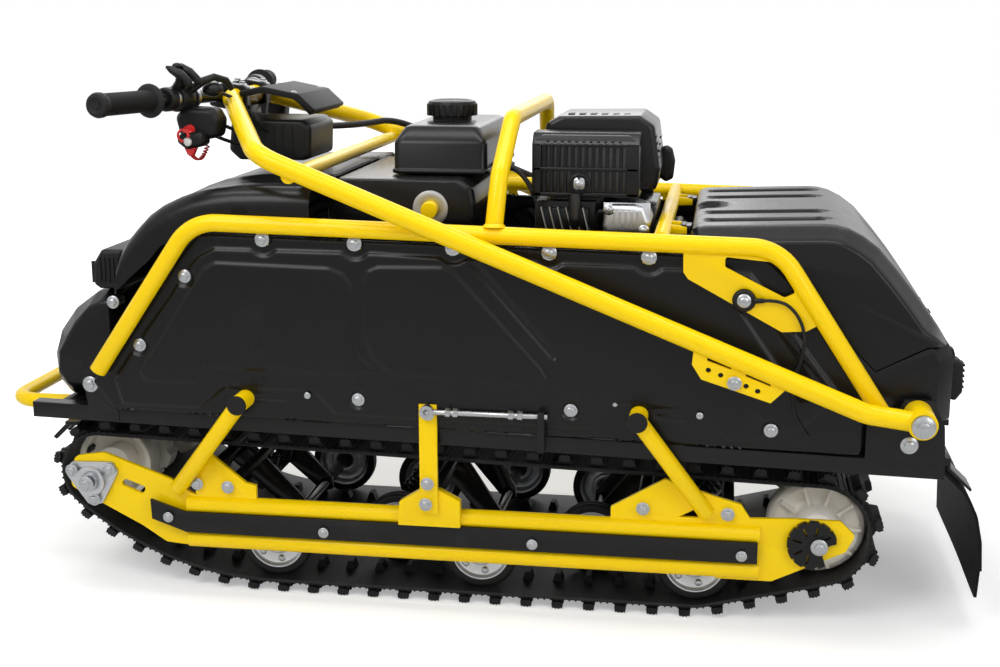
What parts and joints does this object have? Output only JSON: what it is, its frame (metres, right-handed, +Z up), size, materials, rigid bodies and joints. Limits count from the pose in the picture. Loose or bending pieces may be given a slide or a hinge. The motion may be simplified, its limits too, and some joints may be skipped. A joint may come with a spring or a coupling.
{
  "type": "tracked snow tug",
  "caption": "Walk-behind or sled-towing tug on one wide snow track, with an open engine, a tubular hull frame, a steering frame that folds up and back and a hinged rear lid.",
  "frame": {"origin": "on the ground under the middle of the overall box", "axes": "+X forward, +Y to the vehicle's left, +Z up"},
  "size_m": [1.628, 0.819, 0.869],
  "materials": {
    "yellow_paint": "gloss powder coat",
    "black_paint": "satin powder coat",
    "black_plastic": "fine moulded grain",
    "rubber": "matte",
    "cast_aluminium": "cast and turned",
    "zinc_steel": "zinc plated",
    "cream_plastic": "natural nylon",
    "red_plastic": "gloss"
  },
  "bodies": {
    "hull": {"track_belt": "rubber", "road_tyres": "rubber", "road_rims": "cast_aluminium", "wheel_carriers": "black_paint", "track_cross_tubes": "black_paint", "front_shaft": "zinc_steel", "front_sprockets": "cream_plastic", "shaft_bearings": "zinc_steel", "rear_axle": "zinc_steel", "rear_idlers": "cream_plastic", "cam_adjusters": "black_plastic", "suspension_springs": "zinc_steel", "rub_strips": "black_plastic", "carrier_tubes": "yellow_paint", "tension_rods": "zinc_steel", "chassis_cross": "black_paint", "engine_bed": "black_paint", "track_beam_left": "yellow_paint", "track_beam_right": "yellow_paint", "chassis_rail_left": "black_paint", "chassis_rail_right": "black_paint", "hull_rail_left": "yellow_paint", "hull_rail_right": "yellow_paint", "side_panel_left": "black_plastic", "side_panel_right": "black_plastic", "hull_cross_tube": "yellow_paint", "roll_hoop": "yellow_paint", "front_bumper": "yellow_paint", "skid_grille": "black_paint", "nose_panel": "black_plastic", "front_hood": "black_plastic", "headlights": "black_plastic", "tail_box": "black_plastic", "lid_latches": "rubber", "lid_catches": "zinc_steel", "lid_cables": "rubber", "mud_flap": "rubber", "flap_hinge": "zinc_steel", "fuel_tank": "black_plastic", "fuel_cap": "black_plastic", "drive_cover": "black_plastic", "engine_block": "cast_aluminium", "head_cover": "cast_aluminium", "exhaust_pipe": "zinc_steel", "muffler_guard": "black_paint", "engine_shroud": "black_plastic", "recoil_starter": "black_plastic", "pivot_bolts": "zinc_steel"},
    "steering": {"steering_arms": "yellow_paint", "handlebar": "black_paint", "bar_clamps": "black_paint", "grip_left": "rubber", "grip_right": "rubber", "control_pods": "black_plastic", "levers": "zinc_steel", "dash_plate": "black_plastic", "instrument_box": "black_plastic", "steering_harness": "rubber", "lanyard": "red_plastic"},
    "lid": {"rear_lid": "black_plastic"}
  },
  "joints": [
    {"name": "steering_fold", "type": "hinge", "parent": "hull", "child": "steering", "pos_m": [-0.69, 0, 0.368], "axis": [0, -1, 0], "range_deg": [0, 125]},
    {"name": "rear_lid", "type": "hinge", "parent": "hull", "child": "lid", "pos_m": [-0.338, 0, 0.616], "axis": [0, 1, 0], "range_deg": [0, 75]}
  ]
}
